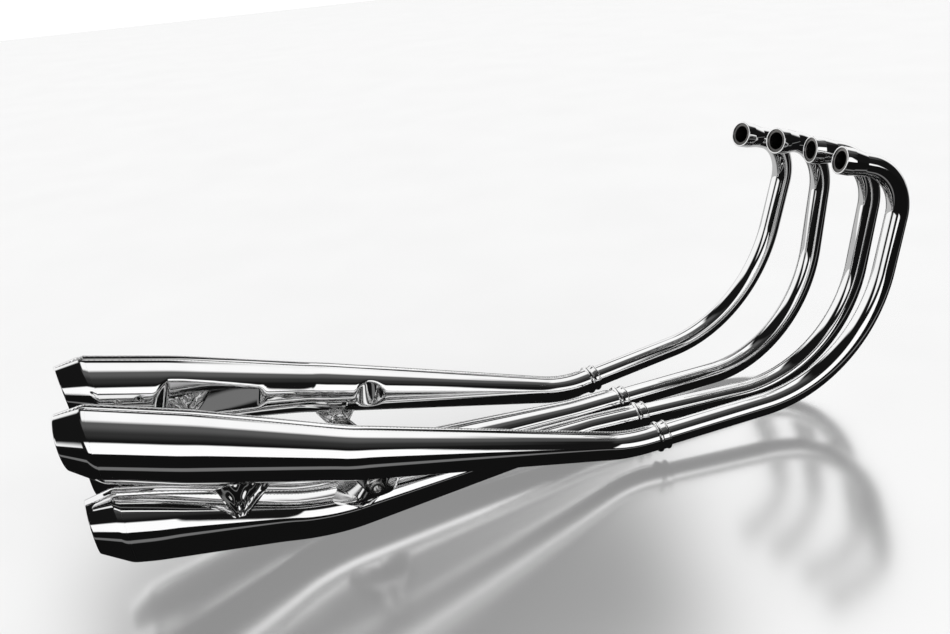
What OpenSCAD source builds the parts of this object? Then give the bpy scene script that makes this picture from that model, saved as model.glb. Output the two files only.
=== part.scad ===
// Four-into-four motorcycle exhaust: four header pipes, each with its own megaphone silencer.
// X points forward, Y to the rider's left, Z up. The ground under the standing set is Z = 0.
// The left side mirrors the right side. Each route is a list of corner points with bend radii.

/* [Header pipes] */
// Outer diameter of the header pipe
header_od = 38; // [34:0.5:39]
// Wall of the header pipe
header_wall = 1.5; // [1:0.1:2]
// Outer diameter of the inner pipe of the double wall
liner_od = 33; // [28:0.5:34]
// Wall of the inner pipe
liner_wall = 1.2; // [0.8:0.1:2]
// Outer diameter of the ring welded to the port end
port_ring_od = 46; // [42:0.5:50]
// Length of the ring on the port end
port_ring_len = 44; // [6:1:50]
// How far the header pipe slips into the silencer neck
slip_len = 30; // [20:1:32]

/* [Outer pipe route] */
// Exhaust port of an outer cylinder
outer_port = [0, -137, 438.5]; // [-1200:0.5:1200]
// Corner of the first bend
outer_bend = [125, -155, 399.5]; // [-1200:0.5:1200]
// Corner of the long sweep under the engine
outer_sweep = [27, -164, 53.5]; // [-1200:0.5:1200]
// Corner in the silencer neck
outer_neck = [-415, -120, 32.5]; // [-1200:0.5:1200]
// Corner where the cone turns into the silencer body
outer_knee = [-853, -123, 163]; // [-1200:0.5:1200]
// Middle of the tail end
outer_tail = [-1196.5, -84, 270.5]; // [-1200:0.5:1200]
// Bend radii at the four corners, from the port to the tail
outer_radii = [77, 266, 225, 225]; // [60:1:400]
// Distance from the neck corner to the mouth of the slip joint
outer_mouth = 69; // [60:1:110]
// Length over which the body swells to its full width after the knee
outer_swell = 200; // [80:1:240]
// Lean of the welded seam away from the bike
outer_seam_lean = 0; // [-30:1:30]

/* [Inner pipe route] */
// Exhaust port of an inner cylinder
inner_port = [12, -48, 438.5]; // [-1200:0.5:1200]
// Corner of the first bend
inner_bend = [142, -69, 409.5]; // [-1200:0.5:1200]
// Corner of the long sweep under the engine
inner_sweep = [65, -58, 10.5]; // [-1200:0.5:1200]
// Corner in the silencer neck
inner_neck = [-439, -30, 31.5]; // [-1200:0.5:1200]
// Corner where the cone turns into the silencer body
inner_knee = [-895, -51, 41]; // [-1200:0.5:1200]
// Middle of the tail end
inner_tail = [-1190, -83.5, 142]; // [-1200:0.5:1200]
// Bend radii at the four corners, from the port to the tail
inner_radii = [91, 239, 190, 325]; // [60:1:400]
// Distance from the neck corner to the mouth of the slip joint
inner_mouth = 103; // [60:1:130]
// Length over which the body swells to its full width after the knee
inner_swell = 180; // [80:1:200]
// Lean of the welded seam away from the bike
inner_seam_lean = 12; // [0:1:40]

/* [Silencers] */
// Outer radius of the silencer neck
neck_r = 21.5; // [20.5:0.1:22]
// Outer radius at the knee
knee_r = 38.5; // [36:0.5:44]
// Outer radius of the full body
body_r = 50; // [46:0.5:52]
// Thickness of the pressed sheet
sheet = 1.5; // [1.2:0.1:2]
// Width of the welded seam flange
seam_w = 3.5; // [2:0.5:5]
// Length of the tail taper along the axis
taper_len = 42; // [30:1:50]
// Radius of the tail outlet
outlet_r = 35; // [30:0.5:38]
// Slant of the tail crease and of the outlet
slash = 22; // [0:1:24]

/* [Clearance pocket] */
// Distance from the tail middle to the rear end of the pocket floor
pocket_from = 130; // [100:1:140]
// Distance from the tail middle to the front end of the pocket floor
pocket_to = 266; // [240:1:275]
// Length of each sloping end of the pocket
pocket_ramp = 18; // [10:1:30]
// Distance of the pocket floor from the silencer axis
pocket_floor = 39; // [34:0.5:46]
// Distance from the knee corner forward to the middle of the front scoop
scoop_at = 88; // [60:1:120]
// Radius of the front scoop
scoop_r = 40; // [20:1:60]
// Depth of the front scoop
scoop_depth = 8; // [4:0.5:12]

/* [Baffles] */
// Outer radius of the removable baffle's end sleeve
sleeve_r = 26; // [22:0.5:29]
// Length of the end sleeve
sleeve_len = 30; // [20:1:34]
// Outer radius of the removable baffle's tube
baffle_r = 19; // [15:0.5:20]
// Length of an upper silencer's baffle
upper_baffle_len = 270; // [250:5:280]
// Length of a lower silencer's baffle
lower_baffle_len = 180; // [150:5:190]
// How far the baffle's rear end sits ahead of the tail crease
baffle_inset = 6; // [2:1:12]

/* [Brackets] */
// Thickness of the bracket plates
plate = 3; // [2:0.5:4]
// Middle of the hanger bolt hole on the right side
hanger_at = [-823, -112, 93]; // [-1200:0.5:1200]
// Outer radius of the hanger bush
bush_r = 10.5; // [9:0.5:14]
// Length of the hanger bush
bush_len = 18; // [8:1:24]
// Radius of the bolt hole in the hanger bush
hanger_bore_r = 5.25; // [4:0.25:6.25]
// Plane of the rear gusset on the right side
gusset_y = -105; // [-110:0.5:-100]

/* [Hidden] */
$fn = 96;
header_r = header_od / 2;
liner_r = liner_od / 2;
outer_path = [outer_port, outer_bend, outer_sweep, outer_neck, outer_knee, outer_tail];
inner_path = [inner_port, inner_bend, inner_sweep, inner_neck, inner_knee, inner_tail];
outer_turns = concat([0], outer_radii, [0]);
inner_turns = concat([0], inner_radii, [0]);
// Running clearance of a sliding fit, and the gap left between fixed pieces
running = 0.05;
gap = 0.02;
// Straight legs run on past their ends by the lap, and bends sit inside their walls by the tuck
lap = 0.6;
tuck = 0.1;
// Half the size of the blocks that cut everything on one side of a plane
big = 400;
seat_len = 20;
seat_wall = 2;
// Where the middle of the set lies along the bike, and how far its lowest point is from the ground
middle_x = -527.9;
ground_z = -1.52;

// Route geometry: headings, turn angles and the length that each bend cuts from a leg.
function unit(v) = v / norm(v);
function heading(p, k) = unit(p[k + 1] - p[k]);
function turn(p, k) = acos(heading(p, k - 1) * heading(p, k));
function trim(p, r, k) = (k == 0 || k == len(p) - 1) ? 0 : r[k] * tan(turn(p, k) / 2);
function leg_start(p, r, k) = p[k] + heading(p, k) * trim(p, r, k);
function leg_len(p, r, k) = norm(p[k + 1] - p[k]) - trim(p, r, k) - trim(p, r, k + 1);
function body_len(p, r) = leg_len(p, r, 4) - taper_len;
function to_mouth(p, r, mouth) = norm(p[3] - p[2]) - trim(p, r, 2) - mouth;

// Seam direction on each leg, carried without twist from the tail towards the port.
function spin(v, axis, a) = v * cos(a) + cross(axis, v) * sin(a) + axis * (axis * v) * (1 - cos(a));
function upright(d) = unit([0, 0, 1] - d * d[2]);
function seam_dir(p, lean, k) =
    k == len(p) - 2
    ? spin(upright(heading(p, k)), heading(p, k), -lean)
    : spin(seam_dir(p, lean, k + 1), unit(cross(heading(p, k), heading(p, k + 1))), -turn(p, k + 1));
function inward(p, k) =
    let (d = heading(p, k - 1), e = heading(p, k)) unit(e - d * (e * d));
function seam_angle(p, lean, k) =
    let (s = seam_dir(p, lean, k - 1), n = inward(p, k))
    atan2(s * cross(-n, heading(p, k - 1)), s * -n);

// Puts a shape drawn along +Z, with its seam towards +Y, at a point of the route.
module placed(at, along, up) {
    side = cross(up, along);
    multmatrix([
        [side[0], up[0], along[0], at[0]],
        [side[1], up[1], along[1], at[1]],
        [side[2], up[2], along[2], at[2]],
        [0, 0, 0, 1]
    ]) children();
}

module on_leg(p, r, lean, k) {
    placed(leg_start(p, r, k), heading(p, k), seam_dir(p, lean, k)) children();
}

// Sweeps a flat section round the bend at corner k.
module round_bend(p, r, k) {
    d = heading(p, k - 1);
    n = inward(p, k);
    placed(p[k] - d * trim(p, r, k) + n * r[k], cross(-n, d), d)
        rotate_extrude(angle = turn(p, k)) translate([r[k], 0]) children();
}

module ring(r_out, r_in) {
    difference() {
        circle(r_out);
        circle(r_in);
    }
}

module tube(r_out, r_in, from, to) {
    translate([0, 0, from]) linear_extrude(to - from) ring(r_out, r_in);
}

// One wall of a header pipe, from the port to its end inside the silencer neck.
module header_wall_run(p, r, mouth, r_out, r_in, inset) {
    on_leg(p, r, 0, 0) tube(r_out, r_in, inset, leg_len(p, r, 0) + lap);
    round_bend(p, r, 1) ring(r_out - tuck, r_in + tuck);
    on_leg(p, r, 0, 1) tube(r_out, r_in, -lap, leg_len(p, r, 1) + lap);
    round_bend(p, r, 2) ring(r_out - tuck, r_in + tuck);
    on_leg(p, r, 0, 2) tube(r_out, r_in, -lap, to_mouth(p, r, mouth) + slip_len - inset);
}

module header(p, r, mouth) {
    color("silver") header_wall_run(p, r, mouth, header_r, header_r - header_wall, 0);
}

module liner(p, r, mouth) {
    color("dimgray") header_wall_run(p, r, mouth, liner_r, liner_r - liner_wall, 1);
}

// Ring on the port end: it closes the gap between the two walls.
module port_ring(p, r) {
    lip = 2.5;
    color("gainsboro") on_leg(p, r, 0, 0) {
        tube(port_ring_od / 2, header_r + gap, -lip, port_ring_len - lip);
        tube(port_ring_od / 2, liner_r - liner_wall, -lip, -gap);
    }
}

// Collar with two rolled beads that clamps the silencer neck onto the header pipe.
module collar(p, r, mouth) {
    lip = 2.6;
    back = 18;
    skin = 0.9;
    front_bead = 1.8;
    rear_bead = 2.6;
    outer = neck_r + skin;
    color("gainsboro") on_leg(p, r, 0, 2) translate([0, 0, to_mouth(p, r, mouth)])
        rotate_extrude() {
            translate([header_r + 0.4, -lip]) square([outer - header_r - 0.4, lip - gap]);
            translate([neck_r + gap, -lip]) square([skin - gap, lip + back]);
            for (bead = [[front_bead, front_bead - lip], [rear_bead, back - rear_bead]])
                translate([outer - 0.4, bead[1]]) intersection() {
                    circle(bead[0], $fn = 32);
                    translate([0, -bead[0]]) square(2 * bead[0]);
                }
        }
}

// Graphite sleeve between the header pipe and the silencer neck.
module seal(p, r, mouth) {
    color("darkslategray") on_leg(p, r, 0, 2)
        translate([0, 0, to_mouth(p, r, mouth)])
            tube(neck_r - sheet - gap, header_r + running, 1, 24);
}

// Half of a revolved solid: side = 1 is the half away from the bike, -1 the half towards it.
module half_turned(outline, side) {
    foot = outline[0];
    top = outline[len(outline) - 1];
    rotate([0, 0, side > 0 ? -90 : 90])
        rotate_extrude(angle = 180) polygon(concat([[0, foot[1]]], outline, [[0, top[1]]]));
}

function inset_by(outline, t) = [for (q = outline) [q[0] - t, q[1]]];

// Flat seam flanges above and below a revolved half.
module half_flanges(outline, side) {
    n = len(outline) - 1;
    edge = [for (k = [n:-1:0]) outline[k] + [seam_w, 0]];
    for (m = [0, 1])
        mirror([0, m, 0]) translate([side > 0 ? 0 : -sheet, 0, 0])
            rotate([90, 0, 90]) linear_extrude(sheet)
                polygon(concat(inset_by(outline, sheet / 2), edge));
}

// A pressed half: outside, flanges, hollow. Its children are two dents, outer and inner face.
module pressed_half(outline, side, dented) {
    difference() {
        union() {
            difference() {
                half_turned(outline, side);
                if (dented) children(0);
            }
            half_flanges(outline, side);
        }
        difference() {
            half_turned(inset_by(outline, sheet), side);
            if (dented) children(1);
        }
    }
}

// Section of a pressed half in a bend, tucked inside the legs' walls on every face.
module half_section(r_out, side) {
    intersection() {
        ring(r_out - tuck, r_out - sheet + tuck);
        translate([-big, side > 0 ? tuck : -big - tuck]) square([2 * big, big]);
    }
    for (m = [0, 1])
        mirror([m, 0]) translate([r_out - sheet / 2, side > 0 ? tuck : tuck - sheet])
            square([seam_w + sheet / 2 - tuck, sheet - 2 * tuck]);
}

// Flat-floored pocket with sloping ends, in the side that faces the bike.
module pocket(axis_len, grow) {
    floor_x = pocket_floor - grow;
    rear = axis_len - pocket_from + grow;
    front = axis_len - pocket_to - grow;
    reach = pocket_ramp * (2 * body_r - floor_x) / (body_r - floor_x);
    rotate([90, 0, 0]) translate([0, 0, -big / 2]) linear_extrude(big) polygon([
        [-floor_x, front], [-2 * body_r, front - reach],
        [-2 * body_r, rear + reach], [-floor_x, rear]
    ]);
}

// Upright cylinder that dents the cone on the side that faces the bike.
module scoop(at, surface_r, grow) {
    translate([scoop_depth - surface_r - scoop_r, 0, at]) rotate([90, 0, 0])
        cylinder(r = scoop_r + grow, h = big, center = true);
}

module neck_half(p, r, mouth, side) {
    flange_from = 22;
    neck_len = mouth - trim(p, r, 3);
    translate([0, 0, to_mouth(p, r, mouth)]) difference() {
        union() {
            half_turned([[neck_r, 0], [neck_r, neck_len + lap]], side);
            half_flanges([[neck_r, flange_from], [neck_r, neck_len + lap]], side);
        }
        half_turned([[neck_r - sheet, 0], [neck_r - sheet, neck_len + lap]], side);
    }
}

module cone_half(p, r, side, dented) {
    h = leg_len(p, r, 3);
    at = h + trim(p, r, 4) - scoop_at;
    surface_r = neck_r + (knee_r - neck_r) * at / h;
    pressed_half([[neck_r, -lap], [knee_r, h + lap]], side, dented) {
        scoop(at, surface_r, 0);
        scoop(at, surface_r, sheet);
    }
}

module body_half(p, r, swell, side, dented) {
    crease = body_len(p, r);
    outline = [[knee_r, -lap], [body_r, swell], [body_r, crease + body_r]];
    difference() {
        pressed_half(outline, side, dented) {
            pocket(leg_len(p, r, 4), 0);
            pocket(leg_len(p, r, 4), sheet);
        }
        translate([0, 0, crease]) rotate([slash, 0, 0])
            translate([-big / 2, -big / 2, 0]) cube(big);
        if (side < 0) bolt_bore(crease);
    }
}

// One pressed half of a silencer: neck, neck bend, cone, knee and body up to the tail crease.
module shell(p, r, mouth, swell, lean, side, dented) {
    color("silver") {
        on_leg(p, r, lean, 2) neck_half(p, r, mouth, side);
        round_bend(p, r, 3) rotate(seam_angle(p, lean, 3)) half_section(neck_r, side);
        on_leg(p, r, lean, 3) cone_half(p, r, side, dented);
        round_bend(p, r, 4) rotate(seam_angle(p, lean, 4)) half_section(knee_r, side);
        on_leg(p, r, lean, 4) body_half(p, r, swell, side, dented);
    }
}

// Tapered end with a rolled lip; the shear slants its ends like the crease.
module tail_cone(p, r, lean) {
    lip = 2.5;
    color("silver") on_leg(p, r, lean, 4) translate([0, 0, body_len(p, r) + gap])
        multmatrix([[1, 0, 0, 0], [0, 1, 0, 0], [0, tan(slash), 1, 0], [0, 0, 0, 1]])
            rotate_extrude() polygon([
                [body_r, 0], [outlet_r, taper_len], [outlet_r - lip, taper_len],
                [outlet_r - lip, taper_len - 4], [body_r - sheet, 0]
            ]);
}

// Fixed plates inside the body: the tail seat of the removable baffle and its front guide.
module chamber(p, r, lean, swell, length) {
    crease = body_len(p, r);
    seat = crease - baffle_inset - sleeve_len + 4;
    guide = crease - baffle_inset - length + 12;
    guide_r = knee_r + (body_r - knee_r) * guide / swell - sheet - 0.4;
    color("gray") on_leg(p, r, lean, 4) difference() {
        union() {
            tube(body_r - sheet - gap, sleeve_r + running, seat, seat + seat_wall);
            tube(sleeve_r + seat_wall, sleeve_r + running, seat, seat + seat_len);
            tube(guide_r, baffle_r + running, guide, guide + seat_wall);
            tube(baffle_r + seat_wall, baffle_r + running, guide, guide + seat_len);
            translate([0, 0, bolt_z(crease)]) rotate([0, -90, 0])
                translate([0, 0, sleeve_r + 1]) cylinder(r = 6, h = body_r - sheet - sleeve_r - 1.4);
        }
        bolt_bore(crease);
    }
}

// Removable baffle: a slotted tube with a sleeve that fits the tail seat.
module baffle(p, r, lean, length) {
    slot_len = 40;
    slot_w = 5;
    color("dimgray") on_leg(p, r, lean, 4) translate([0, 0, body_len(p, r) - baffle_inset]) {
        difference() {
            tube(baffle_r, baffle_r - sheet, -length, 0);
            for (k = [1, 2], a = [0, 90])
                rotate([0, 0, a]) translate([0, 0, -60 * k])
                    cube([slot_w, 3 * baffle_r, slot_len], center = true);
        }
        tube(sleeve_r, sleeve_r - sheet, -sleeve_len, 0);
        tube(sleeve_r - sheet / 2, baffle_r - sheet / 2, -sheet - 1, -1);
    }
}

// Screw on the bike side of the tail that keeps the removable baffle from turning.
function bolt_z(crease) = crease - baffle_inset - sleeve_len + 14;
bolt_r = 3;

module bolt_bore(crease) {
    translate([0, 0, bolt_z(crease)]) rotate([0, -90, 0])
        translate([0, 0, sleeve_r]) cylinder(r = bolt_r + running, h = body_r);
}

module baffle_bolt(p, r, lean) {
    head_r = 5;
    head_h = 4;
    color("gainsboro") on_leg(p, r, lean, 4)
        translate([0, 0, bolt_z(body_len(p, r))]) rotate([0, -90, 0]) {
            translate([0, 0, sleeve_r + 0.4]) cylinder(r = bolt_r, h = body_r - sleeve_r);
            translate([0, 0, body_r + 0.1]) cylinder(r = head_r, h = head_h);
        }
}

// Solids of the cone and body of a silencer, grown a little, to trim brackets to their surface.
module cone_solid(p, r, grow) {
    past = 45;
    h = leg_len(p, r, 3);
    on_leg(p, r, 0, 3) cylinder(
        r1 = neck_r + grow, r2 = knee_r + grow + (knee_r - neck_r) * past / h, h = h + past
    );
}

module body_solid(p, r, swell, grow) {
    on_leg(p, r, 0, 4) {
        cylinder(r1 = knee_r + grow, r2 = body_r + grow, h = swell);
        translate([0, 0, swell - lap]) cylinder(r = body_r + grow, h = leg_len(p, r, 4) - swell);
    }
}

// An upright plate with its outline given as [x, z] points.
module upright_plate(y, thick, outline) {
    translate([0, y + thick / 2, 0]) rotate([90, 0, 0]) linear_extrude(thick) polygon(outline);
}

module bush_hole() {
    translate(hanger_at) rotate([90, 0, 0]) cylinder(r = bush_r + gap, h = 60, center = true);
}

// Lug on the flank of the lower silencer.
module lower_lug() {
    y = hanger_at[1] + plate / 2 + gap;
    color("silver") difference() {
        union() {
            upright_plate(y, plate, [
                [-885, 72], [-846, 52], [-828, 52], [-766, 74], [-800, 106], [-840, 106]
            ]);
            upright_plate(y + 13, 26, [[-870, 67], [-846, 52], [-828, 52], [-800, 63], [-838, 57]]);
        }
        cone_solid(inner_path, inner_turns, 0.4);
        bush_hole();
    }
}

// Lug under the upper silencer; it shares the hanger bush with the lower lug.
module upper_lug() {
    color("silver") difference() {
        upright_plate(hanger_at[1] - plate / 2 - gap, plate, [
            [-862, 152], [-841, 92], [-831, 82], [-815, 82], [-805, 92], [-786, 134]
        ]);
        cone_solid(outer_path, outer_turns, 0.4);
        bush_hole();
    }
}

module hanger_bush() {
    color("gainsboro") translate(hanger_at) rotate([90, 0, 0])
        tube(bush_r, hanger_bore_r, -bush_len / 2, bush_len / 2);
}

// Gusset from the lower silencer's flank to the seam flange of the upper one.
module rear_gusset() {
    color("silver") difference() {
        upright_plate(gusset_y, plate, [[-1012, 104], [-1002, 104], [-956, 144], [-956, 200], [-1034, 200]]);
        body_solid(inner_path, inner_turns, inner_swell, 0.1);
        body_solid(outer_path, outer_turns, outer_swell, seam_w + 0.1);
    }
}

module right() {
    translate([-middle_x, 0, -ground_z]) children();
}

module left() {
    mirror([0, 1, 0]) right() children();
}

// The pieces of the outer route, whose silencer is the upper one.
module outer_header() header(outer_path, outer_turns, outer_mouth);
module outer_liner() liner(outer_path, outer_turns, outer_mouth);
module outer_port_ring() port_ring(outer_path, outer_turns);
module outer_collar() collar(outer_path, outer_turns, outer_mouth);
module outer_seal() seal(outer_path, outer_turns, outer_mouth);
module upper_shell(side)
    shell(outer_path, outer_turns, outer_mouth, outer_swell, outer_seam_lean, side, side < 0);
module upper_tail_cone() tail_cone(outer_path, outer_turns, outer_seam_lean);
module upper_chamber()
    chamber(outer_path, outer_turns, outer_seam_lean, outer_swell, upper_baffle_len);
module upper_baffle() baffle(outer_path, outer_turns, outer_seam_lean, upper_baffle_len);

// The pieces of the inner route, whose silencer is the lower one.
module inner_header() header(inner_path, inner_turns, inner_mouth);
module inner_liner() liner(inner_path, inner_turns, inner_mouth);
module inner_port_ring() port_ring(inner_path, inner_turns);
module inner_collar() collar(inner_path, inner_turns, inner_mouth);
module inner_seal() seal(inner_path, inner_turns, inner_mouth);
module lower_shell(side)
    shell(inner_path, inner_turns, inner_mouth, inner_swell, inner_seam_lean, side, false);
module lower_tail_cone() tail_cone(inner_path, inner_turns, inner_seam_lean);
module lower_chamber()
    chamber(inner_path, inner_turns, inner_seam_lean, inner_swell, lower_baffle_len);
module lower_baffle() baffle(inner_path, inner_turns, inner_seam_lean, lower_baffle_len);

module baffle_bolts() {
    for (m = [0, 1]) mirror([0, m, 0]) right() {
        baffle_bolt(outer_path, outer_turns, outer_seam_lean);
        baffle_bolt(inner_path, inner_turns, inner_seam_lean);
    }
}

left() outer_header();  // header_left_outer
left() inner_header();  // header_left_inner
right() inner_header();  // header_right_inner
right() outer_header();  // header_right_outer
left() outer_liner();  // liner_left_outer
left() inner_liner();  // liner_left_inner
right() inner_liner();  // liner_right_inner
right() outer_liner();  // liner_right_outer
left() outer_port_ring();  // port_ring_left_outer
left() inner_port_ring();  // port_ring_left_inner
right() inner_port_ring();  // port_ring_right_inner
right() outer_port_ring();  // port_ring_right_outer
left() outer_collar();  // collar_left_outer
left() inner_collar();  // collar_left_inner
right() inner_collar();  // collar_right_inner
right() outer_collar();  // collar_right_outer
left() outer_seal();  // seal_left_outer
left() inner_seal();  // seal_left_inner
right() inner_seal();  // seal_right_inner
right() outer_seal();  // seal_right_outer
left() upper_shell(1);  // shell_left_upper_outboard
left() upper_shell(-1);  // shell_left_upper_inboard
left() lower_shell(1);  // shell_left_lower_outboard
left() lower_shell(-1);  // shell_left_lower_inboard
right() lower_shell(1);  // shell_right_lower_outboard
right() lower_shell(-1);  // shell_right_lower_inboard
right() upper_shell(1);  // shell_right_upper_outboard
right() upper_shell(-1);  // shell_right_upper_inboard
left() upper_tail_cone();  // tail_cone_left_upper
left() lower_tail_cone();  // tail_cone_left_lower
right() lower_tail_cone();  // tail_cone_right_lower
right() upper_tail_cone();  // tail_cone_right_upper
left() upper_chamber();  // chamber_left_upper
left() lower_chamber();  // chamber_left_lower
right() lower_chamber();  // chamber_right_lower
right() upper_chamber();  // chamber_right_upper
left() upper_baffle();  // baffle_left_upper
left() lower_baffle();  // baffle_left_lower
right() lower_baffle();  // baffle_right_lower
right() upper_baffle();  // baffle_right_upper
left() lower_lug();  // lower_lug_left
right() lower_lug();  // lower_lug_right
left() upper_lug();  // upper_lug_left
right() upper_lug();  // upper_lug_right
left() hanger_bush();  // hanger_bush_left
right() hanger_bush();  // hanger_bush_right
left() rear_gusset();  // rear_gusset_left
right() rear_gusset();  // rear_gusset_right
baffle_bolts();
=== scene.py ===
import math

import bpy
import numpy as np
from mathutils import Matrix, Vector


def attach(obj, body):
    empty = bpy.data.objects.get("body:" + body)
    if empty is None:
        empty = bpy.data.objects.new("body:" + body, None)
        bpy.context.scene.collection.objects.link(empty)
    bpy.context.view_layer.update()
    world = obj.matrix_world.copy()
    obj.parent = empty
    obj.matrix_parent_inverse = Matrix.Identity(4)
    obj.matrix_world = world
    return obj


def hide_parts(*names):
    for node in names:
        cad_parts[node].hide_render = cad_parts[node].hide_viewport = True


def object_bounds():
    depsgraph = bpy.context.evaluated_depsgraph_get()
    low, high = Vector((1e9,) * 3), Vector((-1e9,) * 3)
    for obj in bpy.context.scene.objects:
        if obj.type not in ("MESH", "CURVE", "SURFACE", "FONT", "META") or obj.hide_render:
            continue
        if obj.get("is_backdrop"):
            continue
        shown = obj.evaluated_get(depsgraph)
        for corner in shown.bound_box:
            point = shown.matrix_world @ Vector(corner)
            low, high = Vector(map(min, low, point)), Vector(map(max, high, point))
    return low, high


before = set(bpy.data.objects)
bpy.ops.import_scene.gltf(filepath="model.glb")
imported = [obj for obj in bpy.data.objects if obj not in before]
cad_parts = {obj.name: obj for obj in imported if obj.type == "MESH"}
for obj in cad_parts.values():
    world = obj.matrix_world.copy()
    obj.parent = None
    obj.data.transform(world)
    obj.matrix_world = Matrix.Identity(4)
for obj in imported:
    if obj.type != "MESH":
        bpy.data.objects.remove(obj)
cad_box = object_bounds()

# Sizes of the object, in millimetres, as in the solid part. X forward, Y left, Z up.
MIDDLE_X = -527.9
GROUND_Z = -1.52
HEADER_R = 19.0
HEADER_WALL = 1.5
LINER_R = 16.5
LINER_WALL = 1.2
PORT_RING_R = 23.0
PORT_RING_LEN = 44.0
PORT_LIP = 2.5
RIM = 2.6
SLEEVE_STRAIGHT = 16.0
SLIP_LEN = 30.0
NECK_R = 21.5
KNEE_R = 38.5
BODY_R = 50.0
SHEET = 1.5
SEAM_W = 3.5
TAPER_LEN = 42.0
OUTLET_R = 35.0
SLASH = math.radians(22.0)
SHOULDER = 9.0
POCKET_FROM = 130.0
POCKET_TO = 266.0
POCKET_RAMP = 18.0
POCKET_FLOOR = 39.0
SCOOP_AT = 88.0
SCOOP_R = 40.0
SCOOP_DEPTH = 8.0
HANGER = (-823.0, -112.0, 93.0)
BUSH_R = 10.5
HANGER_BORE_R = 5.25
BUSH_LEN = 18.0
PLATE = 3.0
GUSSET_Y = -105.0
# Points round a shell half, where the seam flange starts and grows, and where the ends turn slanted
ARC_POINTS = 56
SEAM_START = 20.0
SEAM_GROWTH = 14.0
SLANT_REACH = 55.0
# The floor's brightness where it is seen directly, and the share of it that isn't reflection
FLOOR_LEVEL = 0.9
FLOOR_VEIL = 0.3

OUTER = dict(
    name="outer",
    level="upper",
    port=(0.0, -137.0, 438.5),
    bend=(125.0, -155.0, 399.5),
    sweep=(27.0, -164.0, 53.5),
    neck=(-415.0, -120.0, 32.5),
    knee=(-853.0, -123.0, 163.0),
    tail=(-1196.5, -84.0, 270.5),
    radii=(77.0, 266.0, 225.0, 225.0),
    mouth=69.0,
    swell=200.0,
    lean=0.0,
    dented=True,
)
INNER = dict(
    name="inner",
    level="lower",
    port=(12.0, -48.0, 438.5),
    bend=(142.0, -69.0, 409.5),
    sweep=(65.0, -58.0, 10.5),
    neck=(-439.0, -30.0, 31.5),
    knee=(-895.0, -51.0, 41.0),
    tail=(-1190.0, -83.5, 142.0),
    radii=(91.0, 239.0, 190.0, 325.0),
    mouth=103.0,
    swell=180.0,
    lean=math.radians(12.0),
    dented=False,
)


# ---------------------------------------------------------------- vectors and routes
def unit(v):
    return v / np.linalg.norm(v)


def spin(v, axis, angle):
    c, s = math.cos(angle), math.sin(angle)
    return v * c + np.cross(axis, v) * s + axis * np.dot(axis, v) * (1 - c)


def smoothstep(t):
    t = np.clip(t, 0.0, 1.0)
    return t * t * (3 - 2 * t)


def soft_max(a, b, width):
    return 0.5 * (a + b + np.sqrt((a - b) ** 2 + width * width))


class Route:
    """A pipe's centre line: straight legs joined by round bends, with a seam direction carried along it."""

    def __init__(self, spec):
        self.p = [np.array(spec[k]) for k in ("port", "bend", "sweep", "neck", "knee", "tail")]
        self.r = [0.0, *spec["radii"], 0.0]
        self.last = len(self.p) - 1
        tail = self.heading(self.last - 1)
        up = unit(np.array((0.0, 0.0, 1.0)) - tail * tail[2])
        seam = spin(up, tail, -spec["lean"])
        self.seams = {self.last - 1: seam}
        for k in range(self.last - 2, -1, -1):
            axis = unit(np.cross(self.heading(k), self.heading(k + 1)))
            seam = spin(seam, axis, -self.turn(k + 1))
            self.seams[k] = seam

    def heading(self, k):
        return unit(self.p[k + 1] - self.p[k])

    def turn(self, k):
        return math.acos(float(np.clip(np.dot(self.heading(k - 1), self.heading(k)), -1, 1)))

    def trim(self, k):
        return 0.0 if k in (0, self.last) else self.r[k] * math.tan(self.turn(k) / 2)

    def leg_len(self, k):
        return float(np.linalg.norm(self.p[k + 1] - self.p[k])) - self.trim(k) - self.trim(k + 1)

    def leg_start(self, k):
        return self.p[k] + self.heading(k) * self.trim(k)

    def on_leg(self, k, along):
        """(point, heading, seam direction) at a distance along leg k."""
        d = self.heading(k)
        return self.leg_start(k) + d * along, d, self.seams[k]

    def on_bend(self, k, angle):
        d, e = self.heading(k - 1), self.heading(k)
        axis = unit(np.cross(d, e))
        inward = np.cross(axis, d)
        centre = self.p[k] - d * self.trim(k) + inward * self.r[k]
        point = centre - spin(inward, axis, angle) * self.r[k]
        return point, spin(d, axis, angle), spin(self.seams[k - 1], axis, angle)


def leg_stations(route, k, start, end, step):
    count = max(2, int(math.ceil((end - start) / step)) + 1)
    return [(route.on_leg(k, z), ("leg", k, z)) for z in np.linspace(start, end, count)]


def bend_stations(route, k, step):
    turn = route.turn(k)
    count = max(3, int(math.ceil(turn * route.r[k] / step)) + 1)
    return [(route.on_bend(k, a), ("bend", k, a * route.r[k])) for a in np.linspace(0, turn, count)[1:-1]]


# ---------------------------------------------------------------- meshes
def to_row(v, side):
    """Route millimetres to the frame's metres; the left side is the mirror of the right."""
    out = np.array(v, float)
    out[..., 0] -= MIDDLE_X
    out[..., 2] -= GROUND_Z
    if side == "left":
        out[..., 1] *= -1
    return out / 1000.0


def make_mesh(name, verts, faces, side, sharp_over=None):
    mesh = bpy.data.meshes.new(name)
    if side == "left":
        faces = [tuple(reversed(f)) for f in faces]
    mesh.from_pydata([tuple(v) for v in to_row(verts, side)], [], faces)
    mesh.validate()
    mesh.update()
    obj = bpy.data.objects.new(name, mesh)
    bpy.context.scene.collection.objects.link(obj)
    mesh.shade_smooth()
    if sharp_over is not None:
        mesh.set_sharp_from_angle(angle=math.radians(sharp_over))
    return obj


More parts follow.
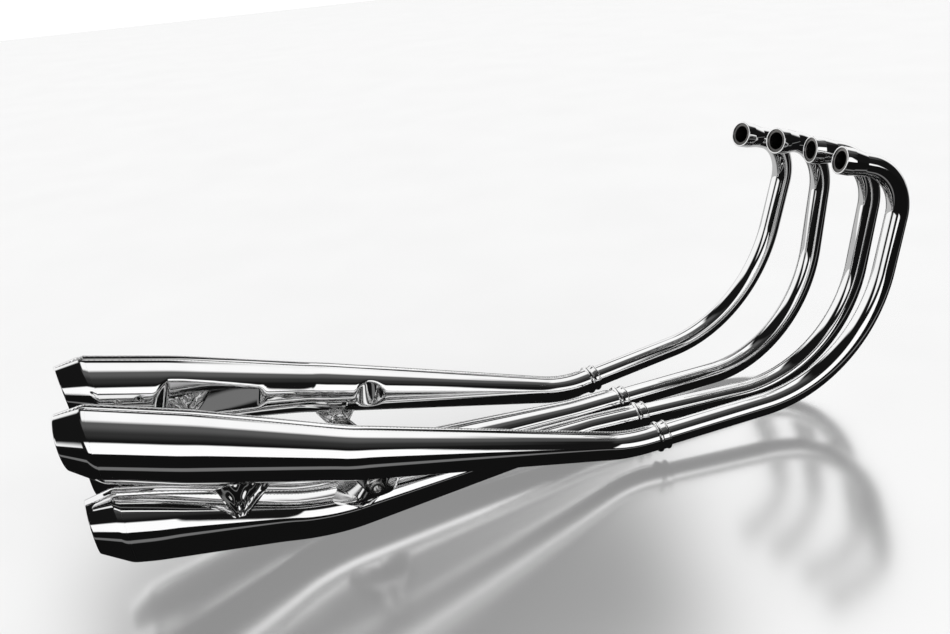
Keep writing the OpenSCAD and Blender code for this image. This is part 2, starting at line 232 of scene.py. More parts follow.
def swept(name, rings, side, closed_path=False, caps=True, sharp_over=40.0):
    """Rings of equal length (stations x points x 3), joined by quads, with flat end caps."""
    rings = np.asarray(rings)
    n, m = rings.shape[:2]
    verts = rings.reshape(-1, 3)
    faces = []
    for i in range(n if closed_path else n - 1):
        a, b = i * m, ((i + 1) % n) * m
        for j in range(m):
            k = (j + 1) % m
            faces.append((a + j, a + k, b + k, b + j))
    if caps and not closed_path:
        faces.append(tuple(range(m - 1, -1, -1)))
        faces.append(tuple((n - 1) * m + j for j in range(m)))
    return make_mesh(name, verts, faces, side, sharp_over=sharp_over)


def revolved(name, place, profile, side, segments=96, sharp_over=50.0):
    """A closed profile of (radius, along) points turned about a route frame's axis."""
    point, d, up = place
    out = np.cross(up, d)
    prof = np.asarray(profile, float)
    angles = np.linspace(0, 2 * math.pi, segments, endpoint=False)
    rings = []
    for a in angles:
        radial = out * math.sin(a) + up * math.cos(a)
        rings.append(point + prof[:, :1] * radial + prof[:, 1:] * d)
    return swept(name, rings, side, closed_path=True, caps=False, sharp_over=sharp_over)


def rounded(points, radius, steps=4):
    """A closed outline with its corners rounded."""
    pts = [np.array(p, float) for p in points]
    out = []
    n = len(pts)
    for i, p in enumerate(pts):
        a, b = pts[i - 1] - p, pts[(i + 1) % n] - p
        la, lb = np.linalg.norm(a), np.linalg.norm(b)
        cosine = np.clip(np.dot(a, b) / (la * lb), -1, 1)
        half = math.acos(cosine) / 2
        r = radius if np.isscalar(radius) else radius[i]
        cut = min(r / max(math.tan(half), 1e-6), 0.45 * la, 0.45 * lb)
        s, e = p + a / la * cut, p + b / lb * cut
        for t in np.linspace(0, 1, steps + 1):
            out.append((1 - t) ** 2 * s + 2 * t * (1 - t) * p + t * t * e)
    return np.array(out)


def finish_piece(obj, body, material, nodes=()):
    obj.data.materials.clear()
    obj.data.materials.append(material)
    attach(obj, body)
    if nodes:
        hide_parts(*nodes)
    return obj


# ---------------------------------------------------------------- materials
def shader(name):
    mat = bpy.data.materials.new(name)
    mat.use_nodes = True
    nodes = mat.node_tree.nodes
    return mat, nodes, mat.node_tree.links, nodes["Principled BSDF"]


def noise(nodes, links, coords, scale, detail=2.0):
    tex = nodes.new("ShaderNodeTexNoise")
    tex.inputs["Scale"].default_value = scale
    tex.inputs["Detail"].default_value = detail
    links.new(coords, tex.inputs["Vector"])
    return tex.outputs["Fac"]


def ramp(nodes, links, fac, stops):
    node = nodes.new("ShaderNodeValToRGB")
    node.color_ramp.elements[0].position = stops[0][0]
    node.color_ramp.elements[0].color = stops[0][1]
    node.color_ramp.elements[1].position = stops[1][0]
    node.color_ramp.elements[1].color = stops[1][1]
    links.new(fac, node.inputs["Fac"])
    return node.outputs["Color"]


def grey(v, warm=0.0):
    return (v * (1 + warm), v, v * (1 - warm), 1.0)


def metal(name, light, dark, rough_low, rough_high, wave=0.0, grain=0.0, warm=0.0, metallic=1.0):
    """Plated or bare metal: tone and gloss drift slowly over the piece, with fine grain on top."""
    mat, nodes, links, bsdf = shader(name)
    coords = nodes.new("ShaderNodeTexCoord").outputs["Object"]
    slow = noise(nodes, links, coords, 14.0, 3.0)
    fine = noise(nodes, links, coords, 900.0, 2.0)
    tone = ramp(nodes, links, slow, [(0.3, grey(dark, warm)), (0.7, grey(light, warm))])
    links.new(tone, bsdf.inputs["Base Color"])
    spread = nodes.new("ShaderNodeMapRange")
    spread.inputs["From Min"].default_value = 0.3
    spread.inputs["From Max"].default_value = 0.7
    spread.inputs["To Min"].default_value = rough_low
    spread.inputs["To Max"].default_value = rough_high
    links.new(fine, spread.inputs["Value"])
    links.new(spread.outputs["Result"], bsdf.inputs["Roughness"])
    bsdf.inputs["Metallic"].default_value = metallic
    normal = None
    if wave:
        bump = nodes.new("ShaderNodeBump")
        bump.inputs["Strength"].default_value = wave
        bump.inputs["Distance"].default_value = 0.001
        links.new(noise(nodes, links, coords, 28.0, 1.0), bump.inputs["Height"])
        normal = bump.outputs["Normal"]
    if grain:
        bump = nodes.new("ShaderNodeBump")
        bump.inputs["Strength"].default_value = grain
        bump.inputs["Distance"].default_value = 0.0002
        links.new(fine, bump.inputs["Height"])
        if normal:
            links.new(normal, bump.inputs["Normal"])
        normal = bump.outputs["Normal"]
    if normal:
        links.new(normal, bsdf.inputs["Normal"])
    return mat


CHROME = metal("chrome", 0.93, 0.88, 0.015, 0.04, wave=0.05)
TUBE_CHROME = metal("tube_chrome", 0.94, 0.89, 0.015, 0.035, wave=0.02)
BRACKET_CHROME = metal("bracket_chrome", 0.85, 0.74, 0.05, 0.12, wave=0.5, grain=0.1)
RING_CHROME = metal("ring_chrome", 0.92, 0.84, 0.03, 0.07)
WELD = metal("weld", 0.85, 0.6, 0.10, 0.2, wave=0.3, grain=0.3)
INNER_STEEL = metal("inner_steel", 0.24, 0.12, 0.35, 0.55, grain=0.3, warm=0.03)
SOOT = metal("soot", 0.10, 0.05, 0.5, 0.75, grain=0.4, warm=0.04, metallic=0.7)
PLAIN_STEEL = metal("plain_steel", 0.4, 0.3, 0.3, 0.5, grain=0.3)
HARDWARE = metal("plated_hardware", 0.8, 0.6, 0.12, 0.22, grain=0.2, warm=0.01)
GRAPHITE = metal("graphite", 0.09, 0.05, 0.55, 0.75, grain=0.4, metallic=0.0)


# ---------------------------------------------------------------- header pipes
def header_stations(route, spec, inset_start, inset_end):
    end = float(np.linalg.norm(route.p[3] - route.p[2])) - route.trim(2) - spec["mouth"] + SLIP_LEN
    stations = leg_stations(route, 0, inset_start, route.leg_len(0), 12.0)
    stations += bend_stations(route, 1, 2.5)
    stations += leg_stations(route, 1, 0.0, route.leg_len(1), 12.0)
    stations += bend_stations(route, 2, 5.0)
    stations += leg_stations(route, 2, 0.0, end - inset_end, 12.0)
    return stations


def pipe(name, stations, r_out, r_in, side, segments=72):
    """An open-ended pipe with both walls."""
    angles = np.linspace(0, 2 * math.pi, segments, endpoint=False)

    def circle(station, radius):
        (point, d, up), _ = station
        out = np.cross(up, d)
        return point + radius * (np.sin(angles)[:, None] * out + np.cos(angles)[:, None] * up)

    rings = [circle(s, r_out) for s in stations] + [circle(s, r_in) for s in reversed(stations)]
    return swept(name, rings, side, closed_path=True, caps=False, sharp_over=60.0)


def port_ring(name, route, side):
    """Sleeve on the port end, with a thin rolled rim and a tapered rear edge."""
    back = PORT_RING_LEN - PORT_LIP
    profile = rounded(
        [
            (PORT_RING_R - RIM, -PORT_LIP),
            (PORT_RING_R, -PORT_LIP),
            (PORT_RING_R, SLEEVE_STRAIGHT),
            (HEADER_R + 0.25, back),
            (HEADER_R + 0.02, back),
            (HEADER_R + 0.02, -0.02),
            (PORT_RING_R - RIM, -0.02),
        ],
        [0.7, 1.2, 14.0, 0.1, 0.01, 0.01, 0.3],
    )
    return revolved(name, route.on_leg(0, 0.0), profile, side)


def port_seat(name, route, side):
    """Flat seat inside the rim, where the port gasket sits."""
    inner = LINER_R - LINER_WALL
    profile = rounded(
        [(inner, -1.2), (PORT_RING_R - RIM - 0.02, -0.5), (PORT_RING_R - RIM - 0.02, -0.02), (inner, -0.02)],
        [0.4, 0.1, 0.01, 0.1],
    )
    return revolved(name, route.on_leg(0, 0.0), profile, side)


def headers(spec, side):
    route = Route(spec)
    tag = f"{side}_{spec['name']}"
    body = f"header_{tag}"
    tube = pipe(f"pipe_{tag}", header_stations(route, spec, 0.0, 0.0), HEADER_R, HEADER_R - HEADER_WALL, side)
    finish_piece(tube, body, TUBE_CHROME, [f"header_{tag}"])
    inner = header_stations(route, spec, 1.0, 1.0)
    liner = pipe(f"inner_pipe_{tag}", inner, LINER_R, LINER_R - LINER_WALL, side, 56)
    finish_piece(liner, body, INNER_STEEL, [f"liner_{tag}"])
    ring = port_ring(f"end_ring_{tag}", route, side)
    finish_piece(ring, body, TUBE_CHROME, [f"port_ring_{tag}"])
    finish_piece(port_seat(f"end_seat_{tag}", route, side), body, INNER_STEEL)


# ---------------------------------------------------------------- slip joint collars
def arc_points(cx, cz, radius, start, end, steps):
    return [
        (cx + radius * math.cos(a), cz + radius * math.sin(a))
        for a in np.radians(np.linspace(start, end, steps))
    ]


def collar(spec, side):
    """Collar with a slim front bead, a narrow band and a thicker rear bead."""
    route = Route(spec)
    lip, back, skin = 2.6, 18.0, 0.9
    outer = NECK_R + skin
    profile = [(HEADER_R + 0.5, -0.02), (HEADER_R + 0.5, -lip + 0.5), (HEADER_R + 1.0, -lip)]
    profile += arc_points(outer, -lip + 1.8, 1.8, -60, 80, 9)
    profile += [(outer, 2.4), (outer, 8.2)]
    profile += arc_points(outer - 0.4, back - 4.2, 3.4, -75, 75, 13)
    profile += [(outer, back - 0.3), (NECK_R + 0.05, back), (NECK_R + 0.05, -0.02)]
    mouth = float(np.linalg.norm(route.p[3] - route.p[2])) - route.trim(2) - spec["mouth"]
    obj = revolved(f"slip_collar_{side}_{spec['name']}", route.on_leg(2, mouth), profile, side)
    tag = f"{side}_{spec['name']}"
    finish_piece(obj, "silencers", RING_CHROME, [f"collar_{tag}"])


# ---------------------------------------------------------------- silencers
def silencer_radius(route, spec, where):
    kind, k, z = where
    if kind == "leg" and k == 2:
        return NECK_R
    if kind == "bend" and k == 3:
        return NECK_R
    if kind == "leg" and k == 3:
        h = route.leg_len(3)
        return NECK_R + (KNEE_R - NECK_R) * z / h
    if kind == "bend":
        return KNEE_R
    return KNEE_R + (BODY_R - KNEE_R) * min(1.0, max(0.0, z) / spec["swell"])


def eased(values, distances, reach):
    """Rounds the corners of a radius curve by averaging over a short reach each way."""
    out = np.array(values, float)
    for i, s in enumerate(distances):
        w = np.clip(1 - np.abs(distances - s) / reach, 0, None)
        w *= np.gradient(distances)
        out[i] = np.sum(w * values) / np.sum(w)
    return out


def silencer_stations(route, spec):
    h2 = float(np.linalg.norm(route.p[3] - route.p[2])) - route.trim(2) - spec["mouth"]
    crease = route.leg_len(4) - TAPER_LEN
    stations = leg_stations(route, 2, h2, route.leg_len(2), 6.0)
    stations += bend_stations(route, 3, 4.0)
    stations += leg_stations(route, 3, 0.0, route.leg_len(3), 3.5)
    stations += bend_stations(route, 4, 4.0)
    stations += leg_stations(route, 4, 0.0, crease, 3.0)
    return stations, crease


def dented(x, route, where):
    """Pushes the side that faces the bike in: a long flat pocket in the body, a scoop in the cone."""
    kind, k, z = where
    if kind == "leg" and k == 4:
        total = route.leg_len(4)
        rear, front = total - POCKET_FROM, total - POCKET_TO
        beyond = max(z - rear, front - z)
        wall = POCKET_FLOOR + (BODY_R - POCKET_FLOOR) * beyond / POCKET_RAMP
        wall = POCKET_FLOOR + math.sqrt(max(0.0, (wall - POCKET_FLOOR)) ** 2 + 0.6) - 0.3
        return soft_max(x, np.full_like(x, -wall), 0.9) - 0.1
    if kind == "leg" and k == 3:
        h = route.leg_len(3)
        at = h + route.trim(4) - SCOOP_AT
        surface = NECK_R + (KNEE_R - NECK_R) * at / h
        axis_x = SCOOP_DEPTH - surface - SCOOP_R
        along = z - at
        if abs(along) < SCOOP_R:
            wall = axis_x + math.sqrt(SCOOP_R**2 - along**2)
            return soft_max(x, np.full_like(x, wall), 0.7) - 0.05
    return x


def seam_height(dist):
    """The flange rises behind the collar and then keeps its height up to the tail crease."""
    return SEAM_W * float(smoothstep((dist - SEAM_START) / SEAM_GROWTH))


def tail_ridge(t):
    """Height of the closed seam on the tail cone, from the crease (t = 0) to the outlet."""
    return SEAM_W * (1.0 - 0.8 * float(smoothstep(t * 1.1)))


def shell_half(spec, side, inboard):
    """One pressed half: outer face, seam flanges, inner face."""
    route = Route(spec)
    stations, crease = silencer_stations(route, spec)
    points = np.array([s[0][0] for s in stations])
    distances = np.concatenate([[0], np.cumsum(np.linalg.norm(np.diff(points, axis=0), axis=1))])
    radii = eased([silencer_radius(route, spec, s[1]) for s in stations], distances, 26.0)
    # Angles from the upper seam to the lower one; the inner face runs back
    arc = np.linspace(0, math.pi, ARC_POINTS)
    inner_arc = np.linspace(0, math.pi, ARC_POINTS // 2)[::-1]
    half = ARC_POINTS // 2
    sign = -1.0 if inboard else 1.0
    rings = []
    for (place, where), radius, dist in zip(stations, radii, distances):
        point, d, up = place
        out = np.cross(up, d)
        flange = seam_height(dist)
        top = radius + flange
        x = radius * np.sin(arc)
        y = radius * np.cos(arc)
        lift = SHEET * np.exp(-((arc / 0.06) ** 2)) + SHEET * np.exp(-(((math.pi - arc) / 0.06) ** 2))
        x = np.maximum(x, np.minimum(lift, SHEET)) if flange > 0.2 else x
        ix = (radius - SHEET) * np.sin(inner_arc)
        iy = (radius - SHEET) * np.cos(inner_arc)
        if inboard and spec["dented"]:
            x = -dented(-x, route, where)
            ix = np.minimum(ix, np.interp(np.abs(iy), np.abs(y[:half])[::-1], x[:half][::-1]) - SHEET + 0.3)
            ix = np.maximum(ix, 0.0)
        ease_tip = 0.35 if flange > 1.0 else 0.0
        loop_x = np.concatenate([[0.0, SHEET - ease_tip, SHEET], x[1:-1], [SHEET, SHEET - ease_tip, 0.0], ix])
        loop_y = np.concatenate(
            [[top, top, top - ease_tip], y[1:-1], [-top + ease_tip, -top, -top], iy]
        )
        if flange < 0.2:
            loop_x[1] = loop_x[2] = loop_x[len(x) + 1] = loop_x[len(x) + 2] = 0.2
        if where[0] == "leg" and where[1] == 4:
            slant = smoothstep((where[2] - (crease - SLANT_REACH)) / SLANT_REACH) * math.tan(SLASH)
        else:
            slant = 0.0
        ring = point + sign * loop_x[:, None] * out + loop_y[:, None] * up + (slant * loop_y)[:, None] * d
        rings.append(ring if not inboard else ring[::-1])
    which = "inboard" if inboard else "outboard"
    name = f"{side}_{spec['level']}_{which}"
    obj = swept(f"silencer_half_{name}", rings, side, sharp_over=55.0)
    finish_piece(obj, "silencers", CHROME, [f"shell_{name}"])
    return stations, radii, distances, crease


def seam_beads(spec, side, stations, radii, distances, crease):
    """Line of spot welds along the edge of both seam flanges, on to the tip of the tail."""
    route = Route(spec)
    total = distances[-1]
    end = total + TAPER_LEN - 3.0
    fine = np.arange(36.0, end, 1.3)
    points = np.array([s[0][0] for s in stations])
    ups = np.array([s[0][2] for s in stations])
    heads = np.array([s[0][1] for s in stations])
    rng = np.random.default_rng(7)
    pulse = 0.5 + 0.5 * np.cos(2 * math.pi * fine / 5.2)
    size = 0.95 + 0.35 * pulse + 0.06 * rng.standard_normal(len(fine))
    angles = np.linspace(0, 2 * math.pi, 10, endpoint=False)
    for sign, edge in ((1.0, "top"), (-1.0, "bottom")):
        rings = []
        for i, dist in enumerate(fine):
            if dist < total:
                at = lambda rows: np.array([np.interp(dist, distances, rows[:, c]) for c in range(3)])
                point, up, d = at(points), at(ups), at(heads)
                height = np.interp(dist, distances, radii) + seam_height(dist) - 0.5
                slant = float(smoothstep((dist - total + SLANT_REACH) / SLANT_REACH)) * math.tan(SLASH)
            else:
                t = (dist - total) / TAPER_LEN
                point, d, up = route.on_leg(4, crease + dist - total)
                height = BODY_R + (OUTLET_R - BODY_R) * t + tail_ridge(t) - 0.9
                slant = math.tan(SLASH)
            out = np.cross(up, d)
            centre = point + sign * height * (up + d * slant)
            across = np.cos(angles)[:, None] * out * 1.35
            rings.append(centre + size[i] * (across + np.sin(angles)[:, None] * up))
        obj = swept(f"seam_weld_{side}_{spec['level']}_{edge}", rings, side, sharp_over=None)
        finish_piece(obj, "silencers", WELD)


def tail_cone(spec, side):
    """Tapered end, slanted with its crease, with a rolled lip round the outlet."""
    route = Route(spec)
    crease = route.leg_len(4) - TAPER_LEN
    point, d, up = route.on_leg(4, crease)
    out = np.cross(up, d)
    lip = 2.5
    slope = (BODY_R - OUTLET_R) / TAPER_LEN
    shoulder = [(z, 0.5 * slope * z * z / SHOULDER) for z in np.linspace(0.05, SHOULDER, 7)]
    profile = [(BODY_R - 0.02 - drop, z) for z, drop in shoulder]
    profile += [(OUTLET_R + 0.9, TAPER_LEN - 2.2)]
    profile += arc_points(OUTLET_R - 0.9, TAPER_LEN - 1.5, 1.5, 20, 150, 9)
    profile += [(OUTLET_R - lip, TAPER_LEN - 4.0), (BODY_R - SHEET - 2.0, 4.0), (BODY_R - SHEET, 0.05)]
    prof = np.array(profile)
    rings = []
    for a in np.linspace(0, 2 * math.pi, 128, endpoint=False):
        x, y = prof[:, 0] * math.sin(a), prof[:, 0] * math.cos(a)
        z = prof[:, 1] + y * math.tan(SLASH)
        rings.append(point + x[:, None] * out + y[:, None] * up + z[:, None] * d)
    obj = swept(f"tail_{side}_{spec['level']}", rings, side, closed_path=True, caps=False, sharp_over=60.0)
    finish_piece(obj, "silencers", CHROME, [f"tail_cone_{side}_{spec['level']}"])
    for sign, edge in ((1.0, "top"), (-1.0, "bottom")):
        rings = []
        for t in np.linspace(0.0, 0.95, 24):
            skin = BODY_R + (OUTLET_R - BODY_R) * t
            z = TAPER_LEN * t
            ring = []
            for half, height in ((1.4, -2.0), (1.4, 0.6), (0.9, 1.0), (-0.9, 1.0), (-1.4, 0.6), (-1.4, -2.0)):
                lift = skin + (height * tail_ridge(t) if height > 0 else height)
                ring.append(point + half * out + sign * lift * (up + d * math.tan(SLASH)) + z * d)
            rings.append(ring)
        ridge = swept(f"tail_seam_{side}_{spec['level']}_{edge}", rings, side)
        finish_piece(ridge, "silencers", CHROME)


def silencer(spec, side):
    shell_half(spec, side, inboard=False)
    parts = shell_half(spec, side, inboard=True)
    seam_beads(spec, side, *parts)
    tail_cone(spec, side)


# ---------------------------------------------------------------- brackets
def flank(spec, x, z):
    """Y of the silencer's outboard flank above a point of its side view."""
    route = Route(spec)
    k = 3 if x > route.p[4][0] else 4
    a, b = route.p[k], route.p[k + 1]
    t = (x - a[0]) / (b[0] - a[0])
    axis = a + (b - a) * t
    if k == 3:
        radius = NECK_R + (KNEE_R - NECK_R) * t
    else:
        radius = min(BODY_R, KNEE_R + (BODY_R - KNEE_R) * t * route.leg_len(4) / spec["swell"])
    drop = np.clip(z - axis[2], -radius, radius)
    return axis[1] - math.sqrt(max(0.0, radius**2 - drop**2)), axis, radius


def pressed_plate(name, side, left, right, depth, across=40, up=28, thick=PLATE):
    """A formed plate: left(v) and right(v) are its edges as (x, z), depth(x, z, u, v) its y."""
    us, vs = np.linspace(0, 1, across), np.linspace(0, 1, up)
    front = np.zeros((up, across, 3))
    for i, v in enumerate(vs):
        a, b = np.array(left(v)), np.array(right(v))
        for j, u in enumerate(us):
            x, z = a + (b - a) * u
            front[i, j] = (x, depth(x, z, u, v), z)
    du = np.gradient(front, axis=1)
    dv = np.gradient(front, axis=0)
    normal = np.cross(dv, du)
    normal /= np.maximum(np.linalg.norm(normal, axis=2, keepdims=True), 1e-9)
    normal *= np.where(normal[..., 1:2] > 0, -1.0, 1.0)
    back = front - normal * thick
    verts = np.concatenate([front.reshape(-1, 3), back.reshape(-1, 3)])
    n = across * up
    at = lambda i, j: i * across + j
    faces = []
    for i in range(up - 1):
        for j in range(across - 1):
            q = (at(i, j), at(i, j + 1), at(i + 1, j + 1), at(i + 1, j))
            faces.append(q)
            faces.append(tuple(n + k for k in reversed(q)))
    rim = [at(0, j) for j in range(across)] + [at(i, across - 1) for i in range(1, up)]
    rim += [at(up - 1, j) for j in range(across - 2, -1, -1)] + [at(i, 0) for i in range(up - 2, 0, -1)]
    for k, a in enumerate(rim):
        b = rim[(k + 1) % len(rim)]
        faces.append((b, a, n + a, n + b))
    obj = make_mesh(name, verts, faces, side, sharp_over=50.0)
    bevel = obj.modifiers.new("edge", "BEVEL")
    bevel.width = 0.0007
    bevel.segments = 3
    bevel.limit_method = "ANGLE"
    bevel.angle_limit = math.radians(50)
    return obj


def mix(a, b, t):
    return tuple(p + (q - p) * t for p, q in zip(a, b))


def lower_lug(side):
    """Stamped saddle: its V-shaped foot is welded on the flank, its raised middle holds the bush."""

    def edge(foot, wing, top):
        return lambda v: mix(foot, wing, v * 2) if v < 0.5 else mix(wing, top, v * 2 - 1)

    def depth(x, z, u, v):
        skin, _, _ = flank(INNER, x, z)
        off_middle = abs(2 * u - 1)
        lift = float(smoothstep(v * 1.7)) * (1 - off_middle**3)
        ribs = 2.6 * math.exp(-(((off_middle - 0.5) / 0.13) ** 2)) * float(smoothstep(v * 4)) * (1 - v)
        waist = 3.0 * math.exp(-((off_middle / 0.22) ** 2)) * float(smoothstep(v * 3)) * (1 - v)
        lip = 1.6 * (1 - v) ** 8 + 1.6 * off_middle**10
        return skin - 0.6 - (skin - HANGER[1] - 3.0) * lift - ribs + waist - lip

    left = edge((-843.0, 50.0), (-884.0, 70.0), (-842.0, 105.0))
    right = edge((-831.0, 50.0), (-768.0, 72.0), (-802.0, 105.0))
    return pressed_plate(f"bracket_lower_{side}", side, left, right, depth, across=64, up=40)


def upper_lug(side):
    """Plate behind the bush, welded under the upper silencer, with a rolled arch over the bush."""

    def depth(x, z, u, v):
        dish = 2.0 * float(smoothstep((18.0 - math.hypot(x - HANGER[0], z - HANGER[2])) / 8.0))
        return HANGER[1] - 1.6 + dish - 1.4 * abs(2 * u - 1) ** 6

    left = lambda v: mix((-832.0, 83.0), (-856.0, 122.0), v)
    right = lambda v: mix((-814.0, 83.0), (-790.0, 116.0), v)
    plate = pressed_plate(f"bracket_upper_{side}", side, left, right, depth, thick=2.5)
    angles = np.linspace(0, 2 * math.pi, 14, endpoint=False)
    rings = []
    for x in np.linspace(-878.0, -758.0, 72):
        bump = math.exp(-(((x - HANGER[0] - 3.0) / 25.0) ** 2))
        _, axis, radius = flank(OUTER, x, 0.0)
        y = HANGER[1] - 4.0 - 7.0 * bump
        centre = np.array((x, y, axis[2] - radius + 0.5 + 3.5 * bump))
        thick = 0.9 + 0.9 * bump
        rings.append(centre + thick * np.stack([0 * angles, 1.3 * np.cos(angles), np.sin(angles)], axis=1))
    arch = swept(f"bracket_arch_{side}", rings, side)
    finish_piece(arch, "silencers", BRACKET_CHROME)
    return plate


def rear_gusset(side):
    """V-shaped pressing between the two silencers, with flared edges and dimples."""

    def depth(x, z, u, v):
        skin, _, _ = flank(INNER, x, z)
        off_middle = abs(2 * u - 1)
        base = min(GUSSET_Y - 1.5, skin - 0.8) if v < 0.35 else GUSSET_Y - 1.5
        flare = 3.5 * off_middle**6 * (0.5 + 0.5 * v) + 2.0 * (1 - v) ** 8
        dimple = math.cos(3 * math.pi * (2 * u - 1)) * math.cos(2.4 * math.pi * v)
        dimple *= 2.2 * float(smoothstep(v / 0.3)) * (1 - off_middle**4)
        return base - flare + dimple

    left = lambda v: mix((-1014.0, 107.0), (-1035.0, 158.0), v)
    right = lambda v: mix((-1003.0, 107.0), (-956.0, 152.0), v)
    return pressed_plate(f"gusset_{side}", side, left, right, depth, across=64, up=40)


def bush(side):
    half = BUSH_LEN / 2
    profile = rounded(
        [(HANGER_BORE_R, -half), (BUSH_R, -half), (BUSH_R, half), (HANGER_BORE_R, half)], [0.6, 1.2, 1.2, 0.6]
    )
    place = (np.array(HANGER), np.array((0.0, 1.0, 0.0)), np.array((0.0, 0.0, 1.0)))
    return revolved(f"bush_{side}", place, profile, side, segments=64)


def brackets(side):
    finish_piece(lower_lug(side), "silencers", BRACKET_CHROME, [f"lower_lug_{side}"])
    finish_piece(upper_lug(side), "silencers", BRACKET_CHROME, [f"upper_lug_{side}"])
    finish_piece(rear_gusset(side), "silencers", BRACKET_CHROME, [f"rear_gusset_{side}"])
    finish_piece(bush(side), "silencers", HARDWARE, [f"hanger_bush_{side}"])


# ---------------------------------------------------------------- solid nodes shown as they are
def paint_solid_nodes():
    table = {"seal": GRAPHITE, "chamber": PLAIN_STEEL, "baffle_bolts": HARDWARE, "baffle_": SOOT}
    for name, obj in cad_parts.items():
        stem = next((s for s in table if name.startswith(s)), None)
        if stem:
            obj.data.materials.clear()
            obj.data.materials.append(table[stem])


# ---------------------------------------------------------------- stage
def window(nodes, links, value, low, high, soft_low, soft_high):
    """1 between low and high, with soft edges."""
    out = []
    for start, end in ((low - soft_low, low + soft_low), (high + soft_high, high - soft_high)):
        node = nodes.new("ShaderNodeMapRange")
        node.interpolation_type = "SMOOTHSTEP"
        node.inputs["From Min"].default_value = start
        node.inputs["From Max"].default_value = end
        links.new(value, node.inputs["Value"])
        out.append(node.outputs["Result"])
    return combine(nodes, links, "MULTIPLY", *out)


def combine(nodes, links, operation, *values):
    node = nodes.new("ShaderNodeMath")
    node.operation = operation
    for socket, value in zip(node.inputs, values):
        if isinstance(value, (int, float)):
            socket.default_value = value
        else:
            links.new(value, socket)
    return node.outputs[0]


def floor_material():
    """Pale polished floor. Reflections see it dark, as painted shade, with a painted glow behind and a
    painted light line in front.
    """
    mat = bpy.data.materials.new("floor")
    mat.use_nodes = True
    nodes, links = mat.node_tree.nodes, mat.node_tree.links
    bsdf = nodes["Principled BSDF"]
    coords = nodes.new("ShaderNodeTexCoord").outputs["Object"]
    tone = ramp(nodes, links, noise(nodes, links, coords, 3.0), [(0.3, grey(0.93)), (0.7, grey(0.97))])
    links.new(tone, bsdf.inputs["Base Color"])
    bsdf.inputs["Metallic"].default_value = 1.0
    bsdf.inputs["Roughness"].default_value = 0.17
    split = nodes.new("ShaderNodeSeparateXYZ")
    links.new(coords, split.inputs["Vector"])
    # painted pool of light: the floor glows behind the object, seen only in reflections
    behind = window(nodes, links, split.outputs["Y"], 0.30, 11.0, 0.12, 0.5)
    # painted light line across the floor in front of the object, seen only in reflections
    line = window(nodes, links, split.outputs["Y"], -0.42, -0.32, 0.015, 0.015)
    glow = combine(nodes, links, "MAXIMUM", combine(nodes, links, "MULTIPLY", behind, 0.5),
                   combine(nodes, links, "MULTIPLY", line, 0.17))
    glow = combine(nodes, links, "MAXIMUM", glow, 0.006)
    # painted shade and light: reflections see the floor as this emission, dim except where the glow and line
    # are painted bright
    dark = nodes.new("ShaderNodeEmission")
    links.new(glow, dark.inputs["Strength"])
    choose = nodes.new("ShaderNodeMixShader")
    links.new(nodes.new("ShaderNodeLightPath").outputs["Is Camera Ray"], choose.inputs["Fac"])
    links.new(dark.outputs["Emission"], choose.inputs[1])
    pale = nodes.new("ShaderNodeEmission")
    pale.inputs["Strength"].default_value = FLOOR_LEVEL
    veil = nodes.new("ShaderNodeMixShader")
    veil.inputs["Fac"].default_value = FLOOR_VEIL
    links.new(bsdf.outputs["BSDF"], veil.inputs[1])
    links.new(pale.outputs["Emission"], veil.inputs[2])
    links.new(veil.outputs["Shader"], choose.inputs[2])
    links.new(choose.outputs["Shader"], nodes["Material Output"].inputs["Surface"])
    return mat


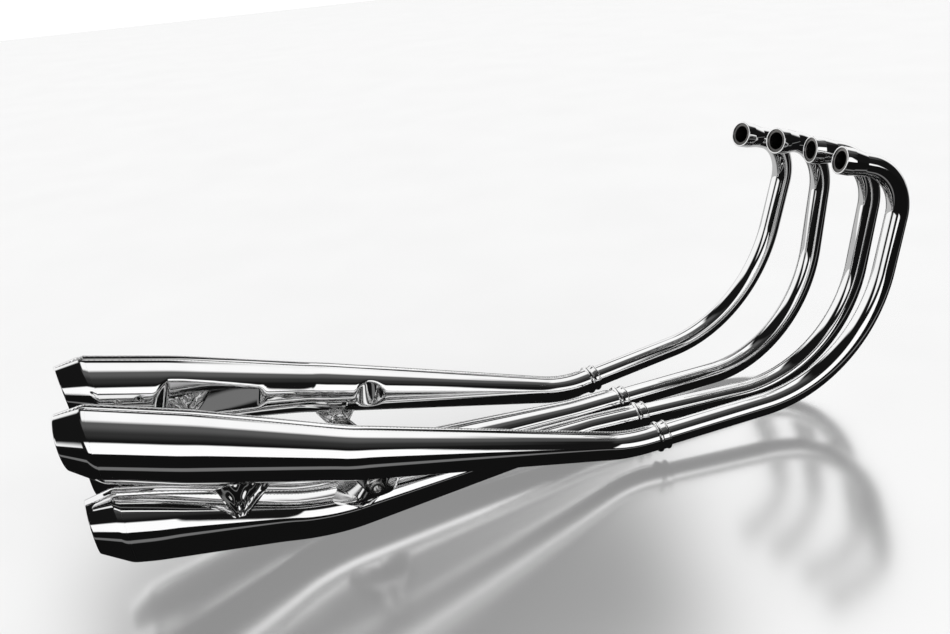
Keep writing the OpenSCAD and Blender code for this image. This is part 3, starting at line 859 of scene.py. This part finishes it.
def stage():
    bpy.ops.mesh.primitive_plane_add(size=24.0, location=(0, 0, -0.0006))
    floor = bpy.context.object
    floor.name = "floor"
    floor.data.materials.append(floor_material())
    floor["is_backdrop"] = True


def studio_world():
    """A white room for the eye; in reflections, white cards in a dark room with a white back wall."""
    world = bpy.data.worlds.new("studio")
    bpy.context.scene.world = world
    world.use_nodes = True
    nodes, links = world.node_tree.nodes, world.node_tree.links
    nodes.clear()
    coords = nodes.new("ShaderNodeTexCoord")
    split = nodes.new("ShaderNodeSeparateXYZ")
    links.new(coords.outputs["Generated"], split.inputs["Vector"])
    x, y, z = (split.outputs[axis] for axis in "XYZ")
    towards = combine(nodes, links, "MULTIPLY", y, -1.0)
    over = combine(nodes, links, "MULTIPLY", combine(nodes, links, "ARCTAN2", z, towards), 180.0 / math.pi)

    def card(low, high, soft_low, soft_high, rear, front, soft_ends, level):
        band = window(nodes, links, over, low, high, soft_low, soft_high)
        ends = window(nodes, links, x, rear, front, soft_ends, soft_ends)
        shape = combine(nodes, links, "MULTIPLY", band, ends)
        return combine(nodes, links, "MULTIPLY", shape, level)

    overhead = card(92.0, 133.0, 8.0, 2.5, 0.02, 0.70, 0.05, 1.05)
    front_strip = card(-8.0, 29.0, 1.2, 2.5, -0.45, 0.56, 0.02, 1.1)
    pipe_strip = card(8.0, 46.0, 2.0, 3.0, -0.97, -0.74, 0.03, 1.0)
    low_glow = card(40.0, 92.0, 12.0, 8.0, -0.1, 0.72, 0.06, 0.032)
    high_glow = card(66.0, 100.0, 12.0, 4.0, -0.1, 0.85, 0.08, 0.075)
    glow = combine(nodes, links, "ADD", low_glow, high_glow)
    back = window(nodes, links, y, 0.15, 2.0, 0.12, 0.1)
    low = window(nodes, links, z, -2.0, 0.72, 0.1, 0.06)
    back_wall = combine(nodes, links, "MULTIPLY", back, low)
    flag = combine(nodes, links, "MULTIPLY", window(nodes, links, x, -0.10, 0.42, 0.06, 0.06),
                   window(nodes, links, z, 0.51, 2.0, 0.05, 0.1))
    back_wall = combine(nodes, links, "MULTIPLY", back_wall, combine(nodes, links, "SUBTRACT", 1.0, flag))
    total = combine(nodes, links, "MAXIMUM", overhead, front_strip)
    for part in (pipe_strip, glow, back_wall, 0.008):
        total = combine(nodes, links, "MAXIMUM", total, part)
    path = nodes.new("ShaderNodeLightPath")
    reflected = nodes.new("ShaderNodeBackground")
    links.new(total, reflected.inputs["Color"])
    seen = nodes.new("ShaderNodeBackground")
    seen.inputs["Color"].default_value = grey(1.0)
    seen.inputs["Strength"].default_value = 1.1
    choose = nodes.new("ShaderNodeMixShader")
    links.new(path.outputs["Is Camera Ray"], choose.inputs["Fac"])
    links.new(reflected.outputs["Background"], choose.inputs[1])
    links.new(seen.outputs["Background"], choose.inputs[2])
    out = nodes.new("ShaderNodeOutputWorld")
    links.new(choose.outputs["Shader"], out.inputs["Surface"])


def camera():
    """Three-quarter view from behind the rider's right shoulder."""
    position = Vector((-0.52915, -1.35671, 0.84352))
    yaw, pitch, roll = 1.1484, -0.3580, -0.0812
    forward = Vector((math.cos(pitch) * math.cos(yaw), math.cos(pitch) * math.sin(yaw), math.sin(pitch)))
    right = Vector((math.sin(yaw), -math.cos(yaw), 0.0))
    up = right.cross(forward)
    x_axis = right * math.cos(roll) + up * math.sin(roll)
    y_axis = up * math.cos(roll) - right * math.sin(roll)
    data = bpy.data.cameras.new("camera")
    data.sensor_width = 36.0
    data.lens = 37.02
    data.shift_x = -0.0945
    data.shift_y = -0.035
    data.clip_start = 0.01
    data.clip_end = 100.0
    obj = bpy.data.objects.new("camera", data)
    bpy.context.scene.collection.objects.link(obj)
    rows = Matrix((x_axis, y_axis, -forward)).transposed()
    obj.matrix_world = Matrix.Translation(position) @ rows.to_4x4()
    bpy.context.scene.camera = obj


for side in ("left", "right"):
    for spec in (OUTER, INNER):
        headers(spec, side)
        collar(spec, side)
        silencer(spec, side)
    brackets(side)
paint_solid_nodes()
stage()
studio_world()
camera()
bpy.context.scene.view_settings.view_transform = "Standard"

final_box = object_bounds()
as_lists = lambda box: [[float(v) for v in corner] for corner in box]
{"cad": as_lists(cad_box), "final": as_lists(final_box)}
